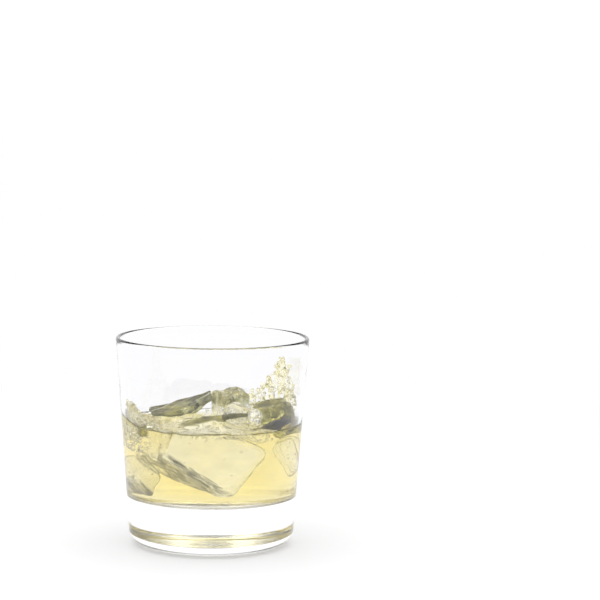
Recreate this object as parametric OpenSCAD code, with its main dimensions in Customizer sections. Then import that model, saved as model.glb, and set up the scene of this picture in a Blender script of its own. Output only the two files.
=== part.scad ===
// A margarita over ice in a low tumbler, with the drink still thrown up the wall by the pour.
// Millimetres, +Z up. The origin is the middle of the foot, on the plane that the glass stands on.

/* [Glass] */
// Height from the foot to the rim
glass_h = 94; // [78:0.5:120]
// Outer radius at the rim
rim_r = 43.5; // [40:0.5:55]
// Outer radius that the straight side would have at the foot
foot_r = 36.8; // [34:0.1:46]
// Thickness of the side
wall = 1.8; // [1.4:0.1:2.6]
// Thickness of the clear base under the drink
base_t = 22.3; // [16:0.1:28]
// Height of the rounded heel
heel_h = 7; // [4:0.5:10]
// How far the rounded heel draws in
heel_w = 9; // [5:0.5:12]
// Radius of the corner between the floor and the side, inside
floor_corner_r = 4.5; // [2:0.5:7]
// Radius of the shallow hollow under the foot
punt_r = 22; // [16:0.5:24]
// Depth of the shallow hollow under the foot
punt_d = 1.6; // [0.8:0.1:3]

/* [Drink] */
// Height of the calm drink above the table
level = 54.4; // [46:0.2:66]
// Height of the small ripples
ripple = 0.7; // [0.2:0.1:1.2]
// Height of the swell that climbs the left side
swell_h = 12.8; // [6:0.2:16]
// Turn of the swell to each side of its crest, in degrees
swell_sweep = 27; // [15:1:40]
// Height of the mounds that the drink forms against the ice
mound_h = 4.5; // [1:0.5:6]
// Height of the mound that the drink forms over the large cube that is sunk in it
sunk_mound_h = 5; // [1:0.5:7]
// Width of that mound
sunk_mound_w = 26; // [16:1:34]
// Drop from the rim to the peak of the splash
splash_drop = 8.5; // [5:0.5:14]
// Thickness of the splash against the side
splash_t = 5; // [4:0.5:8]
// Turn over which the splash falls from its peak towards the front, in degrees
splash_front_sweep = 40; // [25:1:60]
// Turn over which the splash falls from its peak towards the back, in degrees
splash_back_sweep = 44; // [30:1:70]

/* [Ice] */
// Width of the middle cube
middle_w = 14.5; // [12:0.5:18]
// Depth of the middle cube
middle_d = 14; // [10:0.5:17]
// Height of the middle cube
middle_h = 17.5; // [12:0.5:21]
// Width of the front cube
front_w = 16.5; // [12:0.5:20]
// Depth of the front cube
front_d = 14; // [10:0.5:17]
// Height of the front cube
front_h = 13.5; // [10:0.5:17]
// Width of the right cube
right_w = 16.5; // [12:0.5:20]
// Depth of the right cube
right_d = 16; // [12:0.5:20]
// Height of the right cube
right_h = 13; // [9:0.5:16]
// Length of the curved slab on the left
slab_w = 24; // [18:0.5:30]
// Depth of the curved slab
slab_d = 15; // [10:0.5:18]
// Thickness of the curved slab
slab_h = 7; // [5:0.5:9]
// Space between the middle and right cubes
right_gap = 1.6; // [0.6:0.1:4]
// Space between the middle cube and its other neighbours
ice_gap = 0.4; // [0.3:0.1:2]
// Space between the right cube and the side
side_gap = 0.5; // [0.3:0.1:2]
// How far the middle cube stands out of the drink
middle_out = 16.2; // [8:0.2:18]
// How far the front cube stands out of the drink
front_out = 11.4; // [5:0.2:13]
// How far the right cube stands out of the drink
right_out = 11.4; // [5:0.2:13]
// How far the slab stands out of the drink
slab_out = 13.4; // [6:0.2:16]

/* [Hidden] */
$fn = 96;

// Steps in each rounded stretch of an outline
arc_steps = 10;
// Steps round the surface of the drink, and out from its middle
round_steps = 60;
ring_steps = 13;
// How much closer the outer rings lie: 0 spaces all of them evenly
ring_crowding = 0.45;
// Steps round a piece of ice, and from its bottom to its top
ice_round_steps = 20;
ice_rise_steps = 10;
// Headings of the swell and of the splash's peak, from +X towards +Y
swell_heading = 184;
splash_heading = 33;
// What is left of the splash's height where it ends at the back
splash_tail = 0.18;
// The tail of the splash ends over this turn, and its sheet rises over this length
splash_end_sweep = 8;
splash_rise = 4;
// Waves of the ripples: degrees of phase for each millimetre, and where each starts
ripple_pace = [13, 11, 19];
ripple_start = [40, -25, 70];
slanting_share = 0.6;
// Share of the level's radius over which the ripples fade, and where the swell starts and is full
ripple_fade = 0.4;
swell_foot = 0.5;
swell_full = 0.9;
// How far the drink's mounds reach past the ice
mound_margin = 3;
// Middle of the mound over the sunk cube, in front of the middle cube
sunk_at = [-1, -8];

// Squareness of a melting cube: 2 is a ball, and a high number is a sharp cube
cube_power = 4.2;
slab_power = 3;
// Share of its size by which melting leaves a piece of ice uneven
melt = 0.035;
melt_waves = [150, 170, 90];
// The air over the drink is cut a little wider and taller than the glass
cut_margin = 3;

glass_colour = [0.92, 0.93, 0.95, 0.35];
drink_colour = [0.97, 0.91, 0.6, 0.8];
ice_colour = [0.9, 0.92, 0.88, 0.9];

// ---- Sizes that the glass and its contents share ----

function outer_r(z) = foot_r + (rim_r - foot_r) * z / glass_h;
function inner_r(z) = outer_r(z) - wall;
function smooth(t) = let (c = min(max(t, 0), 1)) c * c * (3 - 2 * c);
function hump(t) = exp(-t * t);
// The turn from one heading to another, between -180 and 180
function turn(a, b) = ((a - b + 540) % 360) - 180;

level_r = inner_r(level);
splash_peak = glass_h - splash_drop;

// ---- Places of the ice ----
// The right cube stands close to the side, and the others follow it across the glass.

right_size = [right_w, right_d, right_h];
middle_size = [middle_w, middle_d, middle_h];
front_size = [front_w, front_d, front_h];
slab_size = [slab_w, slab_d, slab_h];
right_tilt = [6, -14, 12];
middle_tilt = [10, 12, 24];
front_tilt = [-8, 16, -14];
slab_tilt = [6, -19, 4];
// Where the pieces lie between front and back, and how far the front cube is right of the middle one
right_y = 1.5;
middle_y = 6.5;
slab_y = 7.5;
front_shift = 5.5;
// The right cube's outer corners are rounded, so they count for this share of its depth
corner_share = 0.35;

// Where X, Y and Z lie in a turned piece
function x_in(t) = [
    cos(t.z) * cos(t.y),
    cos(t.z) * sin(t.y) * sin(t.x) - sin(t.z) * cos(t.x),
    cos(t.z) * sin(t.y) * cos(t.x) + sin(t.z) * sin(t.x)
];
function y_in(t) = [
    sin(t.z) * cos(t.y),
    sin(t.z) * sin(t.y) * sin(t.x) + cos(t.z) * cos(t.x),
    sin(t.z) * sin(t.y) * cos(t.x) - cos(t.z) * sin(t.x)
];
function z_in(t) = [-sin(t.y), cos(t.y) * sin(t.x), cos(t.y) * cos(t.x)];
// The most that a piece of ice reaches from its middle in a direction
function span(size, d, power = cube_power) =
    let (q = power / (power - 1))
    let (sum = pow(abs(size.x * d.x), q) + pow(abs(size.y * d.y), q) + pow(abs(size.z * d.z), q))
    (1 + melt) * pow(sum, 1 / q) / 2;

right_z = level + right_out - span(right_size, z_in(right_tilt));
right_corner_y = right_y + corner_share * span(right_size, y_in(right_tilt));
right_low_z = right_z - span(right_size, z_in(right_tilt));
right_x = sqrt(pow(inner_r(right_low_z) - side_gap, 2) - pow(right_corner_y, 2))
    - span(right_size, x_in(right_tilt));
right_at = [right_x, right_y, right_z];
middle_at = [
    right_x - span(right_size, x_in(right_tilt)) - right_gap - span(middle_size, x_in(middle_tilt)),
    middle_y,
    level + middle_out - span(middle_size, z_in(middle_tilt))
];
front_at = [
    middle_at.x + front_shift,
    middle_at.y - span(middle_size, y_in(middle_tilt)) - ice_gap - span(front_size, y_in(front_tilt)),
    level + front_out - span(front_size, z_in(front_tilt))
];
slab_at = [
    middle_at.x - span(middle_size, x_in(middle_tilt)) - ice_gap
        - span(slab_size, x_in(slab_tilt), slab_power),
    slab_y,
    level + slab_out - span(slab_size, z_in(slab_tilt), slab_power)
];

// ---- Outlines of the glass, from the axis outwards ----

function punt() = [
    for (i = [0 : arc_steps / 2])
        let (r = punt_r * 2 * i / arc_steps)
        [r, punt_d * (1 - pow(r / punt_r, 2))]
];
function heel() =
    let (middle_r = outer_r(heel_h) - heel_w)
    [
        for (i = [0 : arc_steps])
            let (a = 90 * i / arc_steps)
            [middle_r + heel_w * sin(a), heel_h * (1 - cos(a))]
    ];
function rim() =
    let (lip = wall / 2, lip_z = glass_h - lip, middle_r = inner_r(lip_z) + lip)
    [
        for (i = [0 : arc_steps])
            let (a = 180 * i / arc_steps)
            [middle_r + lip * cos(a), lip_z + lip * sin(a)]
    ];
// The inside corner runs from the side down to the floor
function floor_corner() =
    let (top_z = base_t + floor_corner_r, middle_r = inner_r(top_z) - floor_corner_r)
    [
        for (i = [0 : arc_steps])
            let (a = 90 * i / arc_steps)
            [middle_r + floor_corner_r * cos(a), top_z - floor_corner_r * sin(a)]
    ];

// ---- The surface of the drink ----

// Ripples that fade out towards the side
function ripples(x, y) =
    let (fade = smooth((level_r - norm([x, y])) / (ripple_fade * level_r)))
    let (across = sin(ripple_pace.x * x + ripple_start.x) * cos(ripple_pace.y * y + ripple_start.y))
    let (slanting = sin(ripple_pace.z * (x - y) + ripple_start.z))
    ripple * fade * (across + slanting_share * slanting);
// The left swell leans on the side and slopes down towards the middle
function swell(r, a) =
    swell_h * hump(turn(a, swell_heading) / swell_sweep)
        * smooth((r / level_r - swell_foot) / (swell_full - swell_foot));
// A mound against or over a piece of ice
function mound(x, y, ice, width, height) =
    height * hump(norm([x - ice.x, y - ice.y]) / (width / 2 + mound_margin));
// The splash climbs the side from its tail at the back to its peak at the back right
function splash_crest(past) =
    (splash_peak - level) * (
        past > 0
            ? 1 - (1 - splash_tail) * smooth(past / splash_back_sweep)
            : 1 - smooth(-past / splash_front_sweep)
    );
function splash(r, a) =
    let (past = turn(a, splash_heading), back_end = splash_back_sweep + splash_end_sweep)
    let (sheet_r = inner_r(splash_peak) - splash_t)
    past > -splash_front_sweep && past < back_end
        ? splash_crest(past) * smooth((back_end - past) / splash_end_sweep)
            * smooth((r - sheet_r + splash_rise) / splash_rise)
        : 0;
function surface_z(r, a) =
    let (x = r * cos(a), y = r * sin(a))
    level + ripples(x, y)
        + max(swell(r, a), splash(r, a),
            mound(x, y, sunk_at, sunk_mound_w, sunk_mound_h),
            mound(x, y, middle_at, middle_w, mound_h),
            mound(x, y, front_at, front_w, mound_h),
            mound(x, y, right_at, right_w, mound_h),
            mound(x, y, slab_at, slab_w, mound_h));

// Rings are wide in the middle and close near the side, where the splash stands
function ring_r(i) =
    let (t = i / ring_steps)
    (rim_r + cut_margin) * (t + ring_crowding * (1 - pow(1 - t, 2) - t));

// ---- Closed solids from rings of points ----

// Faces of a solid whose points are a bottom point, rings from bottom to top, and a top point
function ring_solid_faces(around, rings) =
    let (last = around * rings + 1)
    concat(
        [for (i = [0 : around - 1]) [0, 1 + i, 1 + (i + 1) % around]],
        [
            for (k = [0 : rings - 2], i = [0 : around - 1])
                let (a = 1 + k * around + i, b = 1 + k * around + (i + 1) % around)
                [a, a + around, b]
        ],
        [
            for (k = [0 : rings - 2], i = [0 : around - 1])
                let (a = 1 + k * around + i, b = 1 + k * around + (i + 1) % around)
                [b, a + around, b + around]
        ],
        [
            for (i = [0 : around - 1])
                let (first = 1 + (rings - 1) * around)
                [first + i, last, first + (i + 1) % around]
        ]
    );

// How far a melting cube reaches in a direction, as a share of half its size
function reach(d, power) =
    pow(pow(abs(d.x), power) + pow(abs(d.y), power) + pow(abs(d.z), power), -1 / power);
function melted(d, seed) =
    1 + melt * (sin(melt_waves.x * d.x + melt_waves.z * d.z + seed)
        + sin(melt_waves.y * d.y - melt_waves.x * d.x + 2 * seed));
function ice_point(size, power, seed, lon, lat) =
    let (d = [cos(lat) * cos(lon), cos(lat) * sin(lon), sin(lat)])
    let (far = reach(d, power) * melted(d, seed) / 2)
    [d.x * size.x * far, d.y * size.y * far, d.z * size.z * far];

module ice_piece(size, place, tilt, seed, power = cube_power) {
    rows = ice_rise_steps - 1;
    points = concat(
        [ice_point(size, power, seed, 0, -90)],
        [
            for (k = [1 : rows], i = [0 : ice_round_steps - 1])
                ice_point(size, power, seed, 360 * i / ice_round_steps, -90 + 180 * k / ice_rise_steps)
        ],
        [ice_point(size, power, seed, 0, 90)]
    );
    color(ice_colour)
        translate(place)
            rotate(tilt)
                polyhedron(points, ring_solid_faces(ice_round_steps, rows));
}

// Everything over the drink, out past the side of the glass
module air_over_drink() {
    top_z = glass_h + cut_margin;
    surface = [
        for (k = [1 : ring_steps], i = [0 : round_steps - 1])
            let (r = ring_r(k), a = 360 * i / round_steps)
            [r * cos(a), r * sin(a), surface_z(r, a)]
    ];
    top = [
        for (i = [0 : round_steps - 1])
            let (r = ring_r(ring_steps), a = 360 * i / round_steps)
            [r * cos(a), r * sin(a), top_z]
    ];
    polyhedron(
        concat([[0, 0, surface_z(0, 0)]], surface, top, [[0, 0, top_z]]),
        ring_solid_faces(round_steps, ring_steps + 1)
    );
}

// ---- The pieces ----

module glass() {
    color(glass_colour)
        rotate_extrude()
            polygon(concat(punt(), heel(), rim(), floor_corner(), [[0, base_t]]));
}

module inside_of_glass() {
    top_z = glass_h - wall;
    rotate_extrude()
        polygon(concat([[0, top_z], [inner_r(top_z), top_z]], floor_corner(), [[0, base_t]]));
}

module drink() {
    color(drink_colour)
        difference() {
            inside_of_glass();
            air_over_drink();
            ice_middle();
            ice_front();
            ice_right();
            ice_slab();
        }
}

module ice_middle() {
    ice_piece(middle_size, middle_at, middle_tilt, seed = 20);
}

module ice_front() {
    ice_piece(front_size, front_at, front_tilt, seed = 75);
}

module ice_right() {
    ice_piece(right_size, right_at, right_tilt, seed = 140);
}

module ice_slab() {
    ice_piece(slab_size, slab_at, slab_tilt, seed = 215, power = slab_power);
}

glass();
drink();
ice_middle();
ice_front();
ice_right();
ice_slab();
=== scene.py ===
"""Looks of a margarita over ice in a low tumbler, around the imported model. Metres, +Z up."""
import math

import bpy
import numpy as np
from mathutils import Matrix, Vector


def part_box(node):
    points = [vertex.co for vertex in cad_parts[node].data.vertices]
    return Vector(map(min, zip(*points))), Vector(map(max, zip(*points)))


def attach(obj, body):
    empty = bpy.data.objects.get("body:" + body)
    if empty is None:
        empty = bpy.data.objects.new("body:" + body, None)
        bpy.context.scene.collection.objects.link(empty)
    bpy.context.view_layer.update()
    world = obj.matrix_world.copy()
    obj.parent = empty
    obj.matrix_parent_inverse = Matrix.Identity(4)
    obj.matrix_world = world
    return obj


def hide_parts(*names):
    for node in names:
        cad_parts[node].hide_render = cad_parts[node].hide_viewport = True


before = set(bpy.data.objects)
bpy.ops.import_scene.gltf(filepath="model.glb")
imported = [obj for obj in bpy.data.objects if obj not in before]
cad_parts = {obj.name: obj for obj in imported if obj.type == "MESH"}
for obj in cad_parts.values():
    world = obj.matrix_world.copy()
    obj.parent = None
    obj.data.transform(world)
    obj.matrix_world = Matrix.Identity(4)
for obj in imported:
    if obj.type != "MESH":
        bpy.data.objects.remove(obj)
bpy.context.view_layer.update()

MM = 0.001
IMAGE_SIDE = 600
SENSOR_WIDTH = 36.0


# ---- Sizes, in millimetres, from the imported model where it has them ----


def node_box(node):
    """Lowest corner, highest corner and middle of a CAD node, in millimetres."""
    low, high = (np.array(corner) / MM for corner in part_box(node))
    return low, high, (low + high) / 2


GLASS_HIGH = node_box("glass")[1]
DRINK_LOW, DRINK_HIGH, _ = node_box("drink")
GLASS_HEIGHT = GLASS_HIGH[2]
FLOOR_Z = DRINK_LOW[2]
SPLASH_PEAK = DRINK_HIGH[2]

WALL = 1.8
FOOT_RADIUS = 36.8
LIP = WALL / 2
# The widest ring of the glass is at the middle of its rounded lip
TAPER = (min(GLASS_HIGH[0], GLASS_HIGH[1]) - FOOT_RADIUS) / (GLASS_HEIGHT - LIP)
HEEL_HEIGHT = 7.0
HEEL_WIDTH = 9.0
FLOOR_CORNER = 4.5
PUNT_RADIUS = 22.0
PUNT_DEPTH = 1.6
LEVEL = 54.4

# A new medium reaches this far into the old one, so that no air gap shows between them
REACH = 0.3
ICE_INSET = 0.15


def outer_radius(z):
    return FOOT_RADIUS + TAPER * z


def inner_radius(z):
    return outer_radius(z) - WALL


LEVEL_RADIUS = inner_radius(LEVEL)


# ---- Shared arithmetic ----


def smooth_step(t):
    t = np.clip(t, 0, 1)
    return t * t * (3 - 2 * t)


def hump(t):
    return np.exp(-t * t)


def turn_from(heading, start):
    """Degrees from start to heading, between -180 and 180."""
    return (heading - start + 540) % 360 - 180


def blend_union(a, b, neck):
    """Union of two fields with a rounded neck between them."""
    share = np.clip(0.5 + 0.5 * (b - a) / neck, 0, 1)
    return b * (1 - share) + a * share - neck * share * (1 - share)


def rotation(tilt):
    """Turns about X, then Y, then Z, in degrees."""
    x, y, z = (math.radians(t) for t in tilt)
    return np.array(Matrix.Rotation(z, 3, "Z") @ Matrix.Rotation(y, 3, "Y") @ Matrix.Rotation(x, 3, "X"))


# ---- Meshes ----


def add_piece(name, points, faces, material):
    """A mesh object from points in millimetres and lists of faces."""
    mesh = bpy.data.meshes.new(name)
    mesh.from_pydata((np.asarray(points) * MM).tolist(), [], [list(map(int, f)) for f in faces])
    mesh.validate()
    mesh.polygons.foreach_set("use_smooth", [True] * len(mesh.polygons))
    mesh.materials.append(material)
    piece = bpy.data.objects.new(name, mesh)
    bpy.context.scene.collection.objects.link(piece)
    return piece


def lathe(profile, segments, wobble=None):
    """Points and faces of a profile of (radius, height) pairs turned about Z; both ends lie on the axis."""
    angles = np.linspace(0, 2 * np.pi, segments, endpoint=False)
    rings = []
    for r, z in profile[1:-1]:
        ring_r = np.full(segments, r)
        if wobble is not None:
            ring_r = ring_r + wobble(angles, z, r)
        rings.append(np.stack([ring_r * np.cos(angles), ring_r * np.sin(angles), np.full(segments, z)], 1))
    count = len(rings)
    points = np.concatenate([[[0, 0, profile[0][1]]], *rings, [[0, 0, profile[-1][1]]]])
    last = len(points) - 1
    i = np.arange(segments)
    j = (i + 1) % segments
    faces = [[0, 1 + a, 1 + b] for a, b in zip(j, i)]
    for k in range(count - 1):
        low, high = 1 + k * segments, 1 + (k + 1) * segments
        faces += np.stack([low + i, low + j, high + j, high + i], 1).tolist()
    low = 1 + (count - 1) * segments
    faces += [[low + a, low + b, last] for a, b in zip(i, j)]
    return points, faces


CELL_CORNERS = np.array([[x, y, z] for x in (0, 1) for y in (0, 1) for z in (0, 1)])
CELL_EDGES = [
    (a, b) for a in range(8) for b in range(a + 1, 8)
    if abs(CELL_CORNERS[a] - CELL_CORNERS[b]).sum() == 1
]
FIELD_CHUNK = 400000


def evaluate(field, points):
    """The field at many points, in chunks that fit the memory."""
    parts = [field(*points[k : k + FIELD_CHUNK].T) for k in range(0, len(points), FIELD_CHUNK)]
    return np.concatenate(parts)


def mesh_from_field(field, low, high, step, pulls=3):
    """Closed mesh of where a field is negative, with one point for each cell that the surface crosses.

    The points are pulled onto the surface afterwards."""
    axes = [np.arange(a, b + step, step) for a, b in zip(low, high)]
    shape = tuple(len(a) for a in axes)
    grid = np.stack(np.meshgrid(*axes, indexing="ij"), -1).reshape(-1, 3).astype(np.float32)
    values = evaluate(field, grid).reshape(shape)
    del grid
    border = np.ones(shape, bool)
    border[1:-1, 1:-1, 1:-1] = False
    if (values[border] < 0).any():
        raise ValueError("the box cuts the piece, which would leave it open")
    inside = values < 0
    cells = tuple(n - 1 for n in shape)
    count = np.zeros(cells, np.int8)
    for c in CELL_CORNERS:
        count += inside[c[0] : c[0] + cells[0], c[1] : c[1] + cells[1], c[2] : c[2] + cells[2]]
    mixed = np.argwhere((count > 0) & (count < 8))
    total = np.zeros((len(mixed), 3))
    crossings = np.zeros(len(mixed))
    for a, b in CELL_EDGES:
        ca, cb = CELL_CORNERS[a], CELL_CORNERS[b]
        va = values[tuple((mixed + ca).T)]
        vb = values[tuple((mixed + cb).T)]
        cross = (va < 0) != (vb < 0)
        share = np.where(cross, va / np.where(cross, va - vb, 1), 0)
        total += np.where(cross[:, None], ca + share[:, None] * (cb - ca), 0)
        crossings += cross
    points = (mixed + total / crossings[:, None]) * step + np.array(low)
    index = np.full(cells, -1, np.int64)
    index[tuple(mixed.T)] = np.arange(len(mixed))
    faces = []
    for axis in range(3):
        ahead = [slice(0, -1) if k == axis else slice(1, -1) for k in range(3)]
        beyond = [slice(1, None) if k == axis else slice(1, -1) for k in range(3)]
        start, end = inside[tuple(ahead)], inside[tuple(beyond)]
        u, v = [k for k in range(3) if k != axis]
        for solid_first in (True, False):
            at = np.argwhere((start & ~end) if solid_first else (~start & end))
            at[:, u] += 1
            at[:, v] += 1
            corners = []
            for du, dv in ((-1, -1), (0, -1), (0, 0), (-1, 0)):
                cell = at.copy()
                cell[:, u] += du
                cell[:, v] += dv
                corners.append(index[tuple(cell.T)])
            quad = np.stack(corners, 1)
            if solid_first == (axis == 1):
                quad = quad[:, ::-1]
            faces.append(quad)
    points = pull_onto(field, points, step, pulls)
    return points, np.concatenate(faces)


def gradient(field, points, width):
    parts = []
    for axis in range(3):
        shift = np.zeros(3)
        shift[axis] = width
        parts.append((evaluate(field, points + shift) - evaluate(field, points - shift)) / (2 * width))
    return np.stack(parts, 1)


def pull_onto(field, points, step, pulls):
    """Moves points onto the field's surface by Newton's steps, each shorter than half a cell."""
    for _ in range(pulls):
        value = evaluate(field, points)
        slope = gradient(field, points, 0.15 * step)
        move = -value[:, None] * slope / np.maximum((slope**2).sum(1), 0.05)[:, None]
        length = np.maximum(np.linalg.norm(move, axis=1), 1e-9)
        move *= np.minimum(1, 0.4 * step / length)[:, None]
        points = points + move
    return points


def ball(steps=10):
    """Points and faces of a ball of radius 1, from rings."""
    angles = np.linspace(-np.pi / 2, np.pi / 2, steps + 1)
    profile = [(math.cos(a), math.sin(a)) for a in angles]
    return lathe(profile, 2 * steps)


def join_meshes(parts):
    """One list of points and one of faces from several."""
    points, faces, start = [], [], 0
    for part_points, part_faces in parts:
        points.append(np.asarray(part_points))
        faces += [[int(i) + start for i in f] for f in part_faces]
        start += len(part_points)
    return np.concatenate(points), faces


def inside_out(faces):
    """Faces of a hollow: the same surface, seen from within."""
    return [list(f)[::-1] for f in faces]


# ---- Fields: negative inside, in millimetres ----


def cavity_field(x, y, z):
    """The inside of the glass, a little into its wall and floor, with a rounded corner between them."""
    side = np.hypot(x, y) - inner_radius(z) - REACH
    floor = FLOOR_Z - REACH - z
    a, b = side + FLOOR_CORNER, floor + FLOOR_CORNER
    corner = np.hypot(np.maximum(a, 0), np.maximum(b, 0)) + np.minimum(np.maximum(a, b), 0)
    return corner - FLOOR_CORNER


class Ice:
    """A melting block of ice: a rounded box with waves, dents and cut corners.

    bend and taper curve and thin it along its own X, and tip thins its +X end again.
    top is the height above which it has melted away."""

    def __init__(self, middle, size, tilt, seed, rounding=3.2, bend=0.0, taper=0.0, tip=0.0,
                 wave=0.35, cuts=3, top=None):
        self.middle = np.array(middle, float)
        self.half = np.array(size, float) / 2
        self.tilt = tilt
        self.turn = rotation(tilt)
        self.rounding = rounding
        self.bend = bend
        self.taper = taper
        self.tip = tip
        self.wave = wave
        self.top = top
        self.neighbours = []
        rng = np.random.default_rng(seed)
        self.waves = rng.normal(0, 0.16, (5, 3))
        self.phases = rng.uniform(0, 2 * np.pi, 5)
        directions = rng.normal(0, 1, (cuts, 3))
        self.cuts = directions / np.linalg.norm(directions, axis=1)[:, None]
        self.cut_depths = rng.uniform(0.72, 0.86, cuts)
        reach = np.abs(self.turn) @ self.half + 2
        self.low, self.high = self.middle - reach, self.middle + reach

    def near(self, x, y, z):
        (x0, y0, z0), (x1, y1, z1) = self.low, self.high
        return (x > x0) & (x < x1) & (y > y0) & (y < y1) & (z > z0) & (z < z1)

    def own_field(self, x, y, z):
        local = (np.stack([x, y, z], -1) - self.middle) @ self.turn
        along = local[..., 0]
        thickness = (1 + self.taper * along) * (1 - self.tip * smooth_step(along / self.half[0]))
        local[..., 2] = (local[..., 2] + self.bend * along**2) / thickness
        out = np.abs(local) - (self.half - self.rounding)
        box = np.linalg.norm(np.maximum(out, 0), axis=-1) + np.minimum(out.max(-1), 0) - self.rounding
        for normal, share in zip(self.cuts, self.cut_depths):
            cut = local @ normal - share * np.abs(normal * self.half).sum()
            box = -blend_union(-box, -cut, 1.6)
        for wave, phase in zip(self.waves, self.phases):
            box = box + self.wave * 0.5 * np.sin(local @ wave * 2 + phase)
        if self.top is not None:
            box = -blend_union(-box, self.top - z, 2.0)
        return box

    def field(self, x, y, z):
        """The block, melted back a little where another one is near."""
        block = self.own_field(x, y, z)
        for other in self.neighbours:
            near = other.near(x, y, z)
            if near.any():
                away = other.own_field(x[near], y[near], z[near])
                block[near] = np.maximum(block[near], NEIGHBOUR_GAP - away)
        return block


NEIGHBOUR_GAP = 0.7
STANDING_ICE = ("ice_middle", "ice_front", "ice_right", "ice_slab")


def make_ice():
    """The four pieces that stand out of the drink, and those sunk in it."""
    middle = node_box("ice_middle")[2]
    front = node_box("ice_front")[2]
    right = node_box("ice_right")[2]
    slab = node_box("ice_slab")[2] + np.array([1.2, 0, -1.2])
    ice = {
        "ice_middle": Ice(
            middle + np.array([0.5, 0, -0.6]), (15, 14, 17), (10, -7, 24), 3, rounding=3.0, cuts=2,
        ),
        "ice_front": Ice(front, (16.5, 14, 13.5), (-8, 16, -14), 5, rounding=3.0),
        "ice_right": Ice(right, (16.5, 16, 13), (6, -14, 12), 8, rounding=3.2),
        "ice_slab": Ice(
            slab, (29, 14, 4.6), (6, -15, 4), 13, rounding=1.6,
            bend=-0.012, taper=0.045, tip=0.72, wave=0.5, cuts=0,
        ),
        "ice_large": Ice(
            (-2, -2.5, 42.6), (34, 36, 26), (-9, 36, 6), 21, rounding=4.0, wave=0.5, cuts=1, top=56.5,
        ),
        "ice_left": Ice((-26.5, -1, 32), (12, 16, 15), (-14, 40, 20), 34, rounding=2, wave=0.5),
        "ice_back": Ice((27, 4, 41), (8, 18, 17), (5, -22, 10), 55, rounding=2, wave=0.5),
    }
    for name in ("ice_large", "ice_left", "ice_back"):
        ice[name].neighbours = [ice[other] for other in STANDING_ICE]
    ice["ice_left"].neighbours.append(ice["ice_large"])
    ice["ice_back"].neighbours.append(ice["ice_large"])
    return ice


ICE = make_ice()

SWELL_HEIGHT = 12.8
# The share of the swell's height below which it is whole, and above which it is a lace
SWELL_BODY = 0.5
SWELL_HEADING = 184
SWELL_SWEEP = 27
MOUNDS = (
    (np.array([-1.0, -8.0]), 26, 5.0),
    (ICE["ice_middle"].middle, 14.5, 4.5),
    (ICE["ice_front"].middle, 16.5, 4.5),
    (ICE["ice_right"].middle, 16.5, 4.5),
    (ICE["ice_slab"].middle, 24, 4.5),
)
MOUND_MARGIN = 3
MENISCUS = 1.5
# Waves of the drink's surface: degrees for each millimetre along X and Y, start, and height
CHOP = (
    (13, 0, 40, 0.5),
    (3, 17, -25, 0.45),
    (19, -19, 70, 0.35),
    (-31, 12, 10, 0.28),
    (22, 38, 120, 0.22),
    (47, -9, 200, 0.14),
    (-18, 55, 300, 0.12),
)


# Folds of the swell: degrees for each millimetre along X and Y, start, and height
FOLDS = (
    (60, 22, 10, 0.9),
    (-35, 75, 140, 0.8),
    (95, -60, 250, 0.45),
    (20, 130, 60, 0.35),
)


def surface_height(x, y):
    """Height of the drink's surface, without the splash."""
    r = np.hypot(x, y)
    heading = np.degrees(np.arctan2(y, x))
    swell = hump(turn_from(heading, SWELL_HEADING) / SWELL_SWEEP)
    swell = swell * smooth_step((r / LEVEL_RADIUS - 0.5) / 0.4)
    rise = SWELL_BODY * SWELL_HEIGHT * swell
    for middle, width, height in MOUNDS:
        away = np.hypot(x - middle[0], y - middle[1])
        rise = np.maximum(rise, height * hump(away / (width / 2 + MOUND_MARGIN)))
    calm = smooth_step((LEVEL_RADIUS - r) / (0.4 * LEVEL_RADIUS))
    chop = 0
    for along_x, along_y, start, height in CHOP:
        chop = chop + height * np.sin(np.radians(along_x * x + along_y * y + start))
    folds = 0
    for along_x, along_y, start, height in FOLDS:
        folds = folds + height * np.abs(np.sin(np.radians(along_x * x + along_y * y + start)))
    meniscus = MENISCUS * np.exp(-np.maximum(LEVEL_RADIUS - r, 0) / MENISCUS)
    return LEVEL + rise + chop * (0.25 + 0.75 * calm) - folds * swell + meniscus


# Shares of a lace's height at which its ropes run
ROPE_SHARES = (1.0, 0.72, 0.44, 0.2)


def rods_field(rods, x, y, z, neck=0.45):
    """Union of tapering rods with round ends, each worked out only near itself."""
    nearest = np.full(np.shape(x), 9.0)
    for start, end, r0, r1 in rods:
        middle, line = (start + end) / 2, end - start
        reach = np.abs(line) / 2 + max(r0, r1) + 1.5
        near = np.abs(x - middle[0]) < reach[0]
        near &= np.abs(y - middle[1]) < reach[1]
        near &= np.abs(z - middle[2]) < reach[2]
        near = np.flatnonzero(near)
        if not len(near):
            continue
        px, py, pz = x[near] - start[0], y[near] - start[1], z[near] - start[2]
        share = np.clip((px * line[0] + py * line[1] + pz * line[2]) / max(line @ line, 1e-6), 0, 1)
        dx, dy, dz = px - share * line[0], py - share * line[1], pz - share * line[2]
        away = np.sqrt(dx**2 + dy**2 + dz**2)
        nearest[near] = blend_union(nearest[near], away - (r0 + (r1 - r0) * share), neck)
    return nearest


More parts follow.
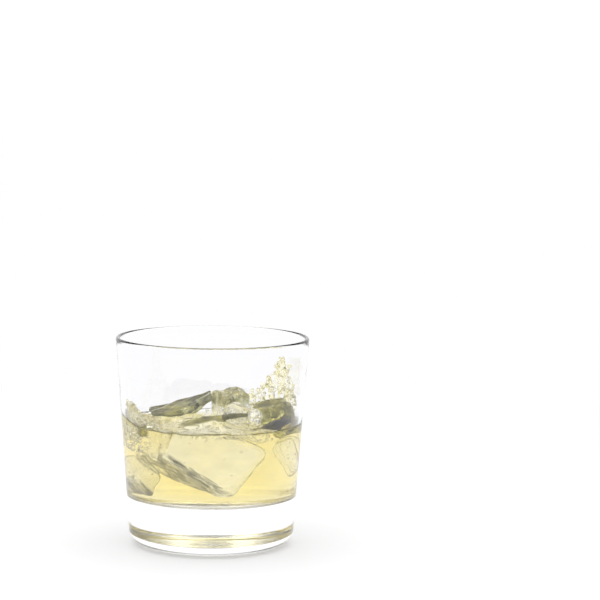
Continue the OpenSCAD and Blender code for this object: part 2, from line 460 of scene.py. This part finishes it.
class Lace:
    """Drink thrown up the side: ropes and a film full of holes near the glass, with drops over its crest.

    before and past are its sweeps in degrees to each side of its peak, and falls the degrees over
    which it falls there. depth is how far in from the side it spreads."""

    def __init__(self, heading, peak, before, past, falls, depth, seed, low, high, finger=False):
        self.heading, self.peak = heading, peak
        self.before, self.past = before, past
        self.falls = falls
        self.depth = depth
        self.low, self.high = np.array(low, float), np.array(high, float)
        rng = np.random.default_rng(seed)
        self.rods = self.ropes(rng) + self.drops(rng)
        self.holes = [self.hole(rng) for _ in range(int(0.75 * (before + past)))]
        if finger:
            self.rods += self.finger(rng)

    def crest(self, past):
        """Height of the crest at some degrees past its peak."""
        fall = np.where(past > 0, past / self.falls[1], -past / self.falls[0])
        return LEVEL + (self.peak - 2.5 - LEVEL) * np.exp(-fall)

    def point(self, past, z, inward):
        """A point some way in from the side of the glass."""
        heading = math.radians(self.heading + past)
        r = inner_radius(z) - inward
        return np.array([r * math.cos(heading), r * math.sin(heading), z])

    def ropes(self, rng):
        """Ropes along the crest and below it, with links between them: start, end and the radii there."""
        rows = []
        for share in ROPE_SHARES:
            row = []
            for past in np.arange(-self.before, self.past, 3.6):
                past = past + rng.normal(0, 1.1)
                z = LEVEL + (float(self.crest(past)) - LEVEL) * share + rng.normal(0, 1.3)
                inward = rng.uniform(1.2, 3.6) + self.depth * (1 - share)
                row.append(self.point(past, min(z, self.peak - 1.2), inward))
            rows.append(row)
        ropes = []
        for row, share in zip(rows, ROPE_SHARES):
            for start, end in zip(row, row[1:]):
                if rng.random() < 0.35 + 0.5 * share:
                    ropes.append((start, end, rng.uniform(0.5, 1.15), rng.uniform(0.5, 1.15)))
        for upper, lower in zip(rows, rows[1:]):
            for k, start in enumerate(upper):
                if rng.random() < 0.6:
                    end = lower[min(max(k + rng.integers(-1, 2), 0), len(lower) - 1)]
                    ropes.append((start, end, rng.uniform(0.4, 0.9), rng.uniform(0.4, 0.9)))
        return ropes

    def drops(self, rng):
        """Drops and beads on the crest."""
        drops = []
        for _ in range(int(0.8 * (self.before + self.past))):
            past = rng.normal(2, 14)
            radius = rng.uniform(0.45, 1.4)
            z = min(float(self.crest(past)) + rng.uniform(-4, 2.5), self.peak - radius - 1)
            place = self.point(past, z, radius + rng.uniform(0.1, 3.0))
            drops.append((place, place + rng.normal(0, 0.35, 3), radius * 0.7, radius * 0.6))
        return drops

    def finger(self, rng):
        """The highest finger, a chain of swellings."""
        heights = np.linspace(self.peak - 17, self.peak - 1.6, 7)
        places = [self.point(rng.normal(-1, 0.9), z, rng.uniform(1.4, 2.2)) for z in heights]
        chain = []
        for k, (start, end) in enumerate(zip(places, places[1:])):
            chain.append((start, end, 1.6 - 0.12 * k, 0.7 - 0.04 * k))
        for _ in range(16):
            past, z = rng.normal(-3, 4), rng.uniform(self.peak - 17, self.peak - 4)
            place = self.point(past, z, rng.uniform(1.5, 3.5))
            chain.append((place, place + rng.normal(0, 0.9, 3), rng.uniform(0.6, 1.4), rng.uniform(0.4, 1.0)))
        return chain

    def hole(self, rng):
        """A hole of the film: degrees past the peak, height and half widths."""
        past = rng.uniform(-self.before, self.past)
        z = rng.uniform(LEVEL + 1.5, max(float(self.crest(past)), LEVEL + 3))
        return past, z, rng.uniform(1.0, 2.8), rng.uniform(1.0, 2.4)

    def film(self, x, y, z):
        """The thin film between the ropes."""
        past = turn_from(np.degrees(np.arctan2(y, x)), self.heading)
        along = np.radians(past) * LEVEL_RADIUS
        lift = np.clip((z - LEVEL) / (self.peak - LEVEL), 0, 1)
        edge = z - self.crest(past) + 0.4 * np.sin(along * 2.1)
        edge = np.maximum(edge, np.maximum(-past - self.before, past - self.past) * 0.6)
        for hole_past, hole_z, width, height in self.holes:
            u = (along - math.radians(hole_past) * LEVEL_RADIUS) / width
            v = (z - hole_z) / height
            edge = np.maximum(edge, (1 - np.hypot(u, v)) * min(width, height))
        inward = 1.9 + self.depth * (1 - lift)
        inward = inward + 0.6 * np.sin(along * 0.6 + z * 0.4)
        inward = inward + 0.4 * np.sin(along * 1.3 - z * 0.8)
        half = 0.3 + 0.3 * hump((edge + 0.5) / 0.6)
        sheet = np.abs(np.hypot(x, y) - (inner_radius(z) - inward)) - half
        return -blend_union(-sheet, -edge, 0.4)

    def field(self, x, y, z):
        """The lace above the drink's surface, just reaching into it.

        It is kept inside the glass and off the ice."""
        lace = np.full(np.shape(x), 5.0)
        close = np.hypot(x, y) > inner_radius(z) - self.depth - 6
        close &= z > surface_height(x, y) - 1
        close = np.flatnonzero(close)
        x, y, z = x[close], y[close], z[close]
        part = blend_union(self.film(x, y, z), rods_field(self.rods, x, y, z), 0.5)
        part = np.maximum(part, surface_height(x, y) - REACH - z)
        part = np.maximum(part, cavity_field(x, y, z) + REACH)
        lace[close] = cut_round_ice(part, x, y, z)
        return lace


SPLASH = Lace(
    heading=33, peak=SPLASH_PEAK - 1.5, before=32, past=44, falls=(35, 24), depth=1.5, seed=11,
    low=(0, -8, LEVEL - 2), high=(41.5, 41.5, SPLASH_PEAK + 0.5), finger=True,
)
SWELL = Lace(
    heading=SWELL_HEADING, peak=LEVEL + SWELL_HEIGHT, before=26, past=44, falls=(16, 34), depth=5.0, seed=12,
    low=(-41.5, -36, LEVEL - 1), high=(-16, 20, LEVEL + SWELL_HEIGHT + 0.5),
)


def rope(line, thickness):
    """Rods through points, with a radius at each."""
    points = [np.array(point, float) for point in line]
    return [(*ends, *radii) for ends, radii in zip(zip(points, points[1:]), zip(thickness, thickness[1:]))]


# The thick edge of the wave that arches over in front of the ice
ARCH = rope(
    ((-16, -15, 54.0), (-11, -15, 56.6), (-4, -16, 58.8), (3, -16.5, 59.6), (9, -17, 60.8), (15, -19, 61.5)),
    (0.8, 1.2, 1.5, 1.4, 1.2, 0.8),
)
# The fold in front of the right block
RIGHT_FOLD = rope(((23.0, -20, 56.0), (28, -18.5, 57.0), (33.5, -15, 58.6)), (1.3, 2.2, 1.2))
RIGHT_FOLD_END = rope(((16, -23, 53.8), (22, -20.5, 54.6)), (0.9, 1.2))
LEFT_BEAD = rope(((-29.5, -23.5, 54.6), (-27, -25.5, 54.4)), (1.9, 1.7))
FRONT_BEAD = rope(((-1.5, -37, 52.9), (1.8, -37, 52.8)), (1.0, 0.9))
# These folds get painted shade in the drink's colour: dark olive on the first set, near-black on the fold in
# front of the right block.
OLIVE_SHADE_FOLDS = ARCH + RIGHT_FOLD_END + LEFT_BEAD + FRONT_BEAD
BLACK_SHADE_FOLDS = RIGHT_FOLD
SURFACE_ROPES = ARCH + RIGHT_FOLD + RIGHT_FOLD_END + LEFT_BEAD


def cut_round_ice(field, x, y, z):
    """A field without what the ice takes up."""
    for ice in ICE.values():
        near = ice.near(x, y, z)
        if near.any():
            field[near] = np.maximum(field[near], -(ice.field(x[near], y[near], z[near]) + ICE_INSET))
    return field


def drink_field(x, y, z):
    """The drink below its surface, with the folds on it, cut round the ice."""
    drink = (z - surface_height(x, y)) * 0.8
    drink = blend_union(drink, rods_field(SURFACE_ROPES, x, y, z), 1.2)
    return cut_round_ice(np.maximum(drink, cavity_field(x, y, z)), x, y, z)


# ---- Materials ----


def new_material(name):
    """A material with an empty Principled shader: the material, its nodes, its links and the shader."""
    material = bpy.data.materials.new(name)
    material.use_nodes = True
    tree = material.node_tree
    return material, tree.nodes, tree.links, tree.nodes["Principled BSDF"]


def noise(nodes, links, scale, detail=4.0, roughness=0.55, distortion=0.0):
    """Noise over the piece's own coordinates, in metres."""
    coordinates = nodes.new("ShaderNodeTexCoord")
    texture = nodes.new("ShaderNodeTexNoise")
    texture.inputs["Scale"].default_value = scale
    texture.inputs["Detail"].default_value = detail
    texture.inputs["Roughness"].default_value = roughness
    texture.inputs["Distortion"].default_value = distortion
    links.new(coordinates.outputs["Object"], texture.inputs["Vector"])
    return texture


def ramp(nodes, links, source, stops):
    """A colour ramp from (place, colour) stops."""
    node = nodes.new("ShaderNodeValToRGB")
    elements = node.color_ramp.elements
    while len(elements) < len(stops):
        elements.new(0.5)
    for element, (place, colour) in zip(elements, stops):
        element.position = place
        element.color = (*colour, 1) if len(colour) == 3 else colour
    links.new(source, node.inputs["Fac"])
    return node


def height_share(nodes, links, low, high, below, above):
    """A value that goes from one number below a height to another above it; heights in millimetres."""
    coordinates = nodes.new("ShaderNodeTexCoord")
    split = nodes.new("ShaderNodeSeparateXYZ")
    links.new(coordinates.outputs["Object"], split.inputs[0])
    share = nodes.new("ShaderNodeMapRange")
    share.interpolation_type = "SMOOTHSTEP"
    share.inputs["From Min"].default_value = low * MM
    share.inputs["From Max"].default_value = high * MM
    share.inputs["To Min"].default_value = below
    share.inputs["To Max"].default_value = above
    links.new(split.outputs["Z"], share.inputs["Value"])
    return share.outputs["Result"]


def bump(nodes, links, shader, texture, distance, strength=1.0):
    node = nodes.new("ShaderNodeBump")
    node.inputs["Distance"].default_value = distance
    node.inputs["Strength"].default_value = strength
    links.new(texture.outputs["Fac"], node.inputs["Height"])
    links.new(node.outputs["Normal"], shader.inputs["Normal"])


def glass_material():
    material, nodes, links, shader = new_material("clear_glass")
    shader.inputs["Transmission Weight"].default_value = 1
    shader.inputs["IOR"].default_value = 1.5
    shader.inputs["Roughness"].default_value = 0
    shader.inputs["Base Color"].default_value = (0.99, 0.99, 1.0, 1)
    ground = height_share(nodes, links, PUNT_DEPTH + 0.3, PUNT_DEPTH + 0.8, 0.2, 0)
    links.new(ground, shader.inputs["Roughness"])
    bump(nodes, links, shader, noise(nodes, links, 45, 2), 0.00006)
    return material


def painted(nodes, name):
    """A value that is painted on a piece's points."""
    attribute = nodes.new("ShaderNodeAttribute")
    attribute.attribute_name = name
    return attribute.outputs["Fac"]


def mixed(nodes, links, share, first, second):
    """A mix of two colours; each is an output or a plain colour."""
    mix = nodes.new("ShaderNodeMix")
    mix.data_type = "RGBA"
    links.new(share, mix.inputs["Factor"])
    for socket, colour in (("A", first), ("B", second)):
        if isinstance(colour, tuple):
            mix.inputs[socket].default_value = (*colour, 1)
        else:
            links.new(colour, mix.inputs[socket])
    return mix.outputs["Result"]


def multiplied(nodes, links, first, second):
    product = nodes.new("ShaderNodeMath")
    product.operation = "MULTIPLY"
    links.new(first, product.inputs[0])
    links.new(second, product.inputs[1])
    return product.outputs[0]


def drink_material():
    material, nodes, links, shader = new_material("margarita")
    shader.inputs["Transmission Weight"].default_value = 1
    shader.inputs["IOR"].default_value = 1.345
    shader.inputs["Roughness"].default_value = 0
    above = height_share(nodes, links, LEVEL + 0.5, LEVEL + 3, 0, 1)
    patches = ramp(nodes, links, noise(nodes, links, 120, 2).outputs["Fac"], (
        (0.44, (1.0, 1.0, 0.98)),
        (0.56, (0.96, 0.92, 0.62)),
    ))
    colour = mixed(nodes, links, above, (1.0, 1.0, 1.0), patches.outputs["Color"])
    # The thin dark olive lines drawn from this noise onto the surface, the splash and the swell are painted
    # shade.
    grain = noise(nodes, links, 150, 3, 0.55, 1.2)
    shade_lines = ramp(nodes, links, grain.outputs["Fac"], (
        (0.37, (0, 0, 0)), (0.40, (1, 1, 1)), (0.43, (0, 0, 0)),
        (0.60, (0, 0, 0)), (0.63, (1, 1, 1)), (0.68, (0.2, 0.2, 0.2)),
    ))
    shade_line_share = multiplied(nodes, links, shade_lines.outputs["Color"], painted(nodes, "shade_line_share"))
    colour = mixed(nodes, links, shade_line_share, colour, (0.16, 0.16, 0.05))
    for name, reach, olive_shade in (
        # Painted shade: a dark olive line along the waterline.
        ("from_waterline", 0.9, (0.10, 0.10, 0.03)),
        # Painted shade: dark olive on the arch and beads.
        ("from_olive_shade_fold", 1.0, (0.17, 0.17, 0.06)),
        # Painted shade: near-black on the fold in front of the right block.
        ("from_black_shade_fold", 1.0, (0.012, 0.012, 0.006)),
    ):
        near = nodes.new("ShaderNodeMapRange")
        near.inputs["From Min"].default_value = reach
        near.inputs["From Max"].default_value = reach - 0.5
        links.new(painted(nodes, name), near.inputs["Value"])
        colour = mixed(nodes, links, near.outputs["Result"], colour, olive_shade)
    links.new(colour, shader.inputs["Base Color"])
    absorption = nodes.new("ShaderNodeVolumeAbsorption")
    absorption.inputs["Color"].default_value = (0.95, 0.82, 0.02, 1)
    absorption.inputs["Density"].default_value = 18
    links.new(absorption.outputs["Volume"], nodes["Material Output"].inputs["Volume"])
    bump(nodes, links, shader, noise(nodes, links, 260, 3), 0.00004)
    return material


def stretched_noise(nodes, links, scales, detail=4.0):
    """Noise drawn out along some axes: its scale on each of them, for each metre."""
    coordinates = nodes.new("ShaderNodeTexCoord")
    mapping = nodes.new("ShaderNodeMapping")
    mapping.inputs["Scale"].default_value = scales
    links.new(coordinates.outputs["Object"], mapping.inputs["Vector"])
    texture = nodes.new("ShaderNodeTexNoise")
    texture.inputs["Scale"].default_value = 1
    texture.inputs["Detail"].default_value = detail
    links.new(mapping.outputs["Vector"], texture.inputs["Vector"])
    return texture


def ice_material(
    name, light, dark, cloud=0.25, frost=0.15, streaks=(90, 90, 90), broken_face=None, pale_below=None,
):
    """Wet melting ice: streaks between two tints, cloudy parts, and a frosted, dented skin. On the middle,
    slab and right blocks the tints are darkened with painted shade.

    broken_face is a block whose lower face is grey with cracks.
    Below the height pale_below the ice is clear, and only the part above it keeps the tints."""
    material, nodes, links, shader = new_material(name)
    shader.inputs["IOR"].default_value = 1.31
    grain = stretched_noise(nodes, links, streaks)
    tint = ramp(nodes, links, grain.outputs["Fac"], ((0.40, dark), (0.60, light)))
    colour = tint.outputs["Color"]
    if pale_below is not None:
        above = height_share(nodes, links, pale_below - 0.8, pale_below + 0.8, 0, 1)
        colour = mixed(nodes, links, above, (0.985, 0.98, 0.94), colour)
    if broken_face is not None:
        colour = crack_face(nodes, links, colour, broken_face)
    links.new(colour, shader.inputs["Base Color"])
    clouds = noise(nodes, links, 90, 5, 0.6, 0.4)
    low = 1 - cloud
    clear = ramp(nodes, links, clouds.outputs["Fac"], ((0.42, (1, 1, 1)), (0.62, (low, low, low))))
    links.new(clear.outputs["Color"], shader.inputs["Transmission Weight"])
    dull = ramp(nodes, links, clouds.outputs["Fac"], ((0.42, (0.0, 0.0, 0.0)), (0.7, (frost, frost, frost))))
    links.new(dull.outputs["Color"], shader.inputs["Roughness"])
    bump(nodes, links, shader, noise(nodes, links, 160, 4), 0.0002)
    return material


def crack_face(nodes, links, colour, block):
    """The colour, with dark and pale cracks on the lower face of a block."""
    coordinates = nodes.new("ShaderNodeTexCoord")
    own = nodes.new("ShaderNodeMapping")
    own.vector_type = "TEXTURE"
    own.inputs["Location"].default_value = Vector(block.middle * MM)
    own.inputs["Rotation"].default_value = [math.radians(t) for t in block.tilt]
    links.new(coordinates.outputs["Object"], own.inputs["Vector"])
    split = nodes.new("ShaderNodeSeparateXYZ")
    links.new(own.outputs["Vector"], split.inputs[0])
    on_face = nodes.new("ShaderNodeMapRange")
    on_face.interpolation_type = "SMOOTHSTEP"
    on_face.inputs["From Min"].default_value = (-block.half[2] + 3.0) * MM
    on_face.inputs["From Max"].default_value = (-block.half[2] + 1.2) * MM
    links.new(split.outputs["Z"], on_face.inputs["Value"])
    drawn_out = nodes.new("ShaderNodeMapping")
    drawn_out.inputs["Scale"].default_value = (90, 420, 420)
    links.new(own.outputs["Vector"], drawn_out.inputs["Vector"])
    grain = nodes.new("ShaderNodeTexNoise")
    grain.inputs["Scale"].default_value = 1
    grain.inputs["Detail"].default_value = 5
    links.new(drawn_out.outputs["Vector"], grain.inputs["Vector"])
    cracks = ramp(nodes, links, grain.outputs["Fac"], ((0.42, (0.10, 0.10, 0.09)), (0.6, (0.85, 0.87, 0.88))))
    return mixed(nodes, links, on_face.outputs["Result"], colour, cracks.outputs["Color"])


def ice_finishes():
    """A finish for each block of ice."""
    # The darker tints of the middle, slab and right blocks are the drink's tint on wet ice and painted shade,
    # nearly black in places; the middle block's olive above its clear lower part is painted shade.
    olive_shade = ice_material("olive_shade_ice", (0.60, 0.60, 0.38), (0.24, 0.25, 0.12), 0.06, 0.03, (90, 90, 160),
                         pale_below=62.6)
    ridge_shade = ice_material("ridge_shade_ice", (0.50, 0.49, 0.24), (0.09, 0.09, 0.025), 0.06, 0.03, (60, 110, 700))
    dark = ice_material("dark_shade_ice", (0.86, 0.84, 0.40), (0.16, 0.17, 0.05), 0.08, 0.05, (260, 260, 340))
    pale = ice_material("pale_ice", (1.0, 1.0, 1.0), (0.95, 0.95, 0.92), 0.10, 0.08, (200, 200, 200))
    sunk = ice_material("sunk_ice", (0.99, 0.99, 0.97), (0.86, 0.85, 0.78), 0.05, 0.05, (90, 90, 160),
                        broken_face=ICE["ice_left"])
    clear = ice_material("clear_ice", (0.99, 0.99, 0.97), (0.90, 0.90, 0.84), 0.05, 0.05)
    white = (0.995, 0.99, 0.97)
    milky = ice_material("milky_ice", white, (0.98, 0.975, 0.95), 0.08, 0.10, broken_face=ICE["ice_large"])
    return {
        "ice_middle": olive_shade, "ice_front": pale, "ice_right": dark, "ice_slab": ridge_shade,
        "ice_large": milky, "ice_left": sunk, "ice_back": clear,
    }


# ---- Pieces ----


def arc(middle, radii, start, end, steps):
    """Points of an arc of an ellipse, by angles in degrees from +radius towards +height."""
    angles = np.radians(np.linspace(start, end, steps + 1))
    return [(middle[0] + radii[0] * math.cos(a), middle[1] + radii[1] * math.sin(a)) for a in angles]


def straight(start, end, steps):
    """Points between two ends, without the ends."""
    return [tuple(np.array(start) + (np.array(end) - start) * k / steps) for k in range(1, steps)]


def glass_profile():
    """Outline of the glass from the axis under the foot to the axis on the floor inside."""
    punt = [(PUNT_RADIUS * t, PUNT_DEPTH * (1 - t * t)) for t in np.linspace(0, 1, 13)]
    heel = arc((outer_radius(HEEL_HEIGHT) - HEEL_WIDTH, HEEL_HEIGHT), (HEEL_WIDTH, HEEL_HEIGHT), -90, 0, 24)
    lip_z = GLASS_HEIGHT - LIP
    lip = arc((inner_radius(lip_z) + LIP, lip_z), (LIP, LIP), 0, 180, 16)
    corner_z = FLOOR_Z + FLOOR_CORNER
    corner = arc((inner_radius(corner_z) - FLOOR_CORNER, corner_z), (FLOOR_CORNER, FLOOR_CORNER), 0, -90, 20)
    floor = [(corner[-1][0] * (1 - t), FLOOR_Z) for t in np.linspace(0.06, 1, 12)]
    return (
        punt + straight(punt[-1], heel[0], 4) + heel + straight(heel[-1], lip[0], 30)
        + lip + straight(lip[-1], corner[0], 26) + corner + floor
    )


def make_glass(material):
    def wobble(angles, z, r):
        """The slight unevenness of pressed glass, none at the rim."""
        fade = smooth_step((GLASS_HEIGHT - 6 - z) / 20) * smooth_step(z / 4)
        return -0.03 * fade * (1 + np.sin(3 * angles + 0.11 * z) * np.sin(5 * angles - 0.23 * z))

    points, faces = lathe(glass_profile(), 288, wobble)
    return add_piece("tumbler", points, faces, material)


def make_bubbles(rng, count, low, high, sizes, field, gap):
    """Hollow balls that lie inside a field, clear of its surface and of each other."""
    places = []
    tries = rng.uniform(low, high, (count * 12, 3))
    radii = rng.uniform(sizes[0], sizes[1], len(tries))
    depth = evaluate(field, tries)
    for place, radius, d in zip(tries, radii, depth):
        if len(places) == count:
            break
        if d > -(radius + gap):
            continue
        if any(np.linalg.norm(place - p) < radius + s + 0.1 for p, s in places):
            continue
        places.append((place, radius))
    return places


def hollow_balls(places, steps=7):
    points, faces = ball(steps)
    return [(points * radius + place, inside_out(faces)) for place, radius in places]


def paint(piece, name, values):
    attribute = piece.data.attributes.new(name, "FLOAT", "POINT")
    attribute.data.foreach_set("value", np.asarray(values, np.float32))


def paint_drink(piece, points):
    """Paints the distances from the waterline and the folds, which the finish darkens with painted shade, and
    how much of the surface gets thin lines of painted shade.
    """
    x, y, z = np.asarray(points).T
    r = np.hypot(x, y)
    top = surface_height(x, y)
    paint(piece, "from_waterline", np.hypot(np.maximum(inner_radius(z) - r, 0), z - top))
    paint(piece, "from_olive_shade_fold", rods_field(OLIVE_SHADE_FOLDS, x, y, z))
    paint(piece, "from_black_shade_fold", rods_field(BLACK_SHADE_FOLDS, x, y, z))
    # Where the thin dark lines of painted shade go: near the surface, on drink thrown above it, and on the
    # swell.
    swell = hump(turn_from(np.degrees(np.arctan2(y, x)), SWELL_HEADING) / 34) * smooth_step((r - 24) / 8)
    surface = smooth_step(2 - np.abs(z - top) / 1.5)
    thrown = smooth_step((z - top) / 2)
    shade_line_share = np.maximum(0.75 * surface, 0.8 * thrown)
    shade_line_share = np.maximum(shade_line_share, swell * smooth_step((z - LEVEL + 9) / 4))
    paint(piece, "shade_line_share", np.clip(shade_line_share, 0, 1))


DRINK_STEP = 0.69
LACE_STEP = 0.33
# Bubbles under the surface: how many, the box they lie in, and the range of their radii
BUBBLES = (
    (30, (-40, -20, 45), (-27, 14, 66), (1.0, 2.4)),
    (90, (-40, -24, 44), (-22, 22, 66), (0.3, 1.1)),
    (90, (-39, -20, 55), (-24, 14, 67), (0.4, 1.2)),
    (40, (-30, -22, 52), (38, 36, 58), (0.2, 0.7)),
    (60, (-16, -26, 55), (14, -6, 62), (0.3, 1.3)),
    (25, (14, -30, 50), (38, 30, 60), (0.25, 0.9)),
)


def make_drink(material):
    rng = np.random.default_rng(5)
    side = LEVEL_RADIUS + 3
    low, high = (-side, -side, FLOOR_Z - 1.5), (side, side, LEVEL + SWELL_HEIGHT + 2)
    parts = [mesh_from_field(drink_field, low, high, DRINK_STEP)]
    for count, lowest, highest, sizes in BUBBLES:
        bubbles = make_bubbles(rng, count, lowest, highest, sizes, drink_field, 0.25)
        parts += hollow_balls(bubbles, 5 + int(2 * sizes[1]))
    points, faces = join_meshes(parts)
    piece = add_piece("margarita", points, faces, material)
    paint_drink(piece, points)
    return piece


def make_lace(name, lace, material):
    points, faces = mesh_from_field(lace.field, lace.low, lace.high, LACE_STEP)
    piece = add_piece(name, points, faces, material)
    paint_drink(piece, points)
    return piece


ICE_STEP = 0.5


def glints(block, rng, count):
    """Small cracks inside a block, at any slant."""
    points, faces = ball(6)
    cracks = []
    for _ in range(count * 4):
        place = rng.uniform(block.low + 2, block.high - 2)
        size = np.array([rng.uniform(0.8, 2.4), rng.uniform(0.5, 1.6), rng.uniform(0.08, 0.3)])
        crack = (points * size) @ rotation(rng.uniform(0, 360, 3)).T + place
        if len(cracks) < count and evaluate(block.field, crack).max() < -0.3:
            cracks.append((crack, inside_out(faces)))
    return cracks


def crack_flakes(block, rng, count):
    """Thin gaps of air under a block's lower face."""
    points, faces = ball(8)
    flakes = []
    for _ in range(count):
        half = block.half - 4
        x, y = rng.uniform(-half[0], half[0]), rng.uniform(-half[1], half[1])
        place = np.array([x, y, -block.half[2] + 2.2])
        size = np.array([rng.uniform(2, 5), rng.uniform(1, 3), rng.uniform(0.08, 0.2)])
        lean = rotation(rng.normal(0, 4, 3))
        flake = (points * size) @ lean.T + place + [0, 0, rng.uniform(0, 1.2)]
        flake = flake @ block.turn.T + block.middle
        if evaluate(block.field, flake).max() < -0.3:
            flakes.append((flake, inside_out(faces)))
    return flakes


def make_ice_pieces(finishes):
    pieces = {}
    rng = np.random.default_rng(77)
    for name, ice in ICE.items():
        parts = [mesh_from_field(ice.field, ice.low - 1, ice.high + 1, ICE_STEP)]
        inner = make_bubbles(rng, 14, ice.low, ice.high, (0.12, 0.5), ice.field, 0.5)
        parts += hollow_balls(inner, 5)
        if name == "ice_front":
            parts += glints(ice, rng, 34)
        if name in ("ice_middle", "ice_right"):
            parts += glints(ice, rng, 18)
        if name == "ice_large":
            parts += crack_flakes(ice, rng, 26)
        pieces[name] = add_piece("shown_" + name, *join_meshes(parts), finishes[name])
    return pieces


# ---- Studio ----


def make_camera():
    """The photograph's view: from 1 m in front, just over the rim, with the glass left of the middle."""
    down, right_turn, roll = 0.104, 0.039, 0.012
    ahead = Vector((math.sin(right_turn), math.cos(right_turn), 0))
    forward = math.cos(down) * ahead - Vector((0, 0, math.sin(down)))
    level_right = Vector((math.cos(right_turn), -math.sin(right_turn), 0))
    level_up = level_right.cross(forward)
    right = math.cos(roll) * level_right + math.sin(roll) * level_up
    up = math.cos(roll) * level_up - math.sin(roll) * level_right
    camera = bpy.data.objects.new("camera", bpy.data.cameras.new("camera"))
    camera.data.sensor_width = SENSOR_WIDTH
    camera.data.lens = 2239 / IMAGE_SIDE * SENSOR_WIDTH
    camera.data.clip_end = 50
    turn = Matrix((right, up, -forward)).transposed().to_4x4()
    camera.matrix_world = Matrix.Translation((0, -1.0, 0.2153)) @ turn
    bpy.context.scene.collection.objects.link(camera)
    bpy.context.scene.camera = camera


def make_world():
    """A white room with a bright ceiling, and a dark band high up that draws the rim, ice and drink."""
    world = bpy.data.worlds.new("studio")
    world.use_nodes = True
    nodes, links = world.node_tree.nodes, world.node_tree.links
    coordinates = nodes.new("ShaderNodeTexCoord")
    split = nodes.new("ShaderNodeSeparateXYZ")
    links.new(coordinates.outputs["Generated"], split.inputs[0])
    colour = ramp(nodes, links, split.outputs["Z"], (
        (0.0, (1.0, 1.0, 1.0)),
        (0.38, (1.0, 1.0, 1.0)),
        (0.46, (0.03, 0.03, 0.03)),
        (0.58, (0.03, 0.03, 0.03)),
        (0.66, (1.0, 1.0, 1.0)),
        (0.95, (1.0, 1.0, 1.0)),
        (0.975, (0.04, 0.04, 0.04)),
    ))
    strength = nodes.new("ShaderNodeMapRange")
    strength.inputs["From Min"].default_value = 0.78
    strength.inputs["From Max"].default_value = 0.86
    strength.inputs["To Min"].default_value = 1.1
    strength.inputs["To Max"].default_value = 2.7
    links.new(split.outputs["Z"], strength.inputs["Value"])
    background = nodes["Background"]
    links.new(colour.outputs["Color"], background.inputs["Color"])
    links.new(strength.outputs["Result"], background.inputs["Strength"])
    bpy.context.scene.world = world


def make_floor():
    material, nodes, links, shader = new_material("pale_floor")
    nodes.remove(shader)
    diffuse = nodes.new("ShaderNodeBsdfDiffuse")
    diffuse.inputs["Color"].default_value = (0.97, 0.97, 0.97, 1)
    emission = nodes.new("ShaderNodeEmission")
    emission.inputs["Color"].default_value = (1, 1, 1, 1)
    coordinates = nodes.new("ShaderNodeTexCoord")
    length = nodes.new("ShaderNodeVectorMath")
    length.operation = "LENGTH"
    links.new(coordinates.outputs["Object"], length.inputs[0])
    fade = nodes.new("ShaderNodeMapRange")
    fade.interpolation_type = "SMOOTHSTEP"
    fade.inputs["From Min"].default_value = 0.05
    fade.inputs["From Max"].default_value = 0.5
    fade.inputs["To Min"].default_value = 0.45
    links.new(length.outputs["Value"], fade.inputs["Value"])
    mix = nodes.new("ShaderNodeMixShader")
    links.new(fade.outputs["Result"], mix.inputs["Fac"])
    links.new(diffuse.outputs[0], mix.inputs[1])
    links.new(emission.outputs[0], mix.inputs[2])
    links.new(mix.outputs[0], nodes["Material Output"].inputs["Surface"])
    points, faces = lathe([(0, 0), (40, 0), (200, 0), (1000, 0), (6000, 0), (0, -1)], 64)
    floor = add_piece("floor", points + np.array([0, 0, -0.05]), faces, material)


def make_studio():
    scene = bpy.context.scene
    scene.view_settings.view_transform = "Standard"
    scene.cycles.max_bounces = 40
    scene.cycles.transmission_bounces = 40
    scene.cycles.glossy_bounces = 16
    scene.cycles.transparent_max_bounces = 32
    make_camera()
    make_world()
    make_floor()


# ---- The whole ----

glass_finish = glass_material()
drink_finish = drink_material()

tumbler = make_glass(glass_finish)
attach(tumbler, "root")
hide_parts("glass")

margarita = make_drink(drink_finish)
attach(margarita, "root")
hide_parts("drink")

for name, lace in (("splash", SPLASH), ("swell", SWELL)):
    piece = make_lace(name, lace, drink_finish)
    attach(piece, "root")
    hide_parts("drink")

for name, piece in make_ice_pieces(ice_finishes()).items():
    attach(piece, "root")
    if name in STANDING_ICE:
        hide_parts(name)

make_studio()
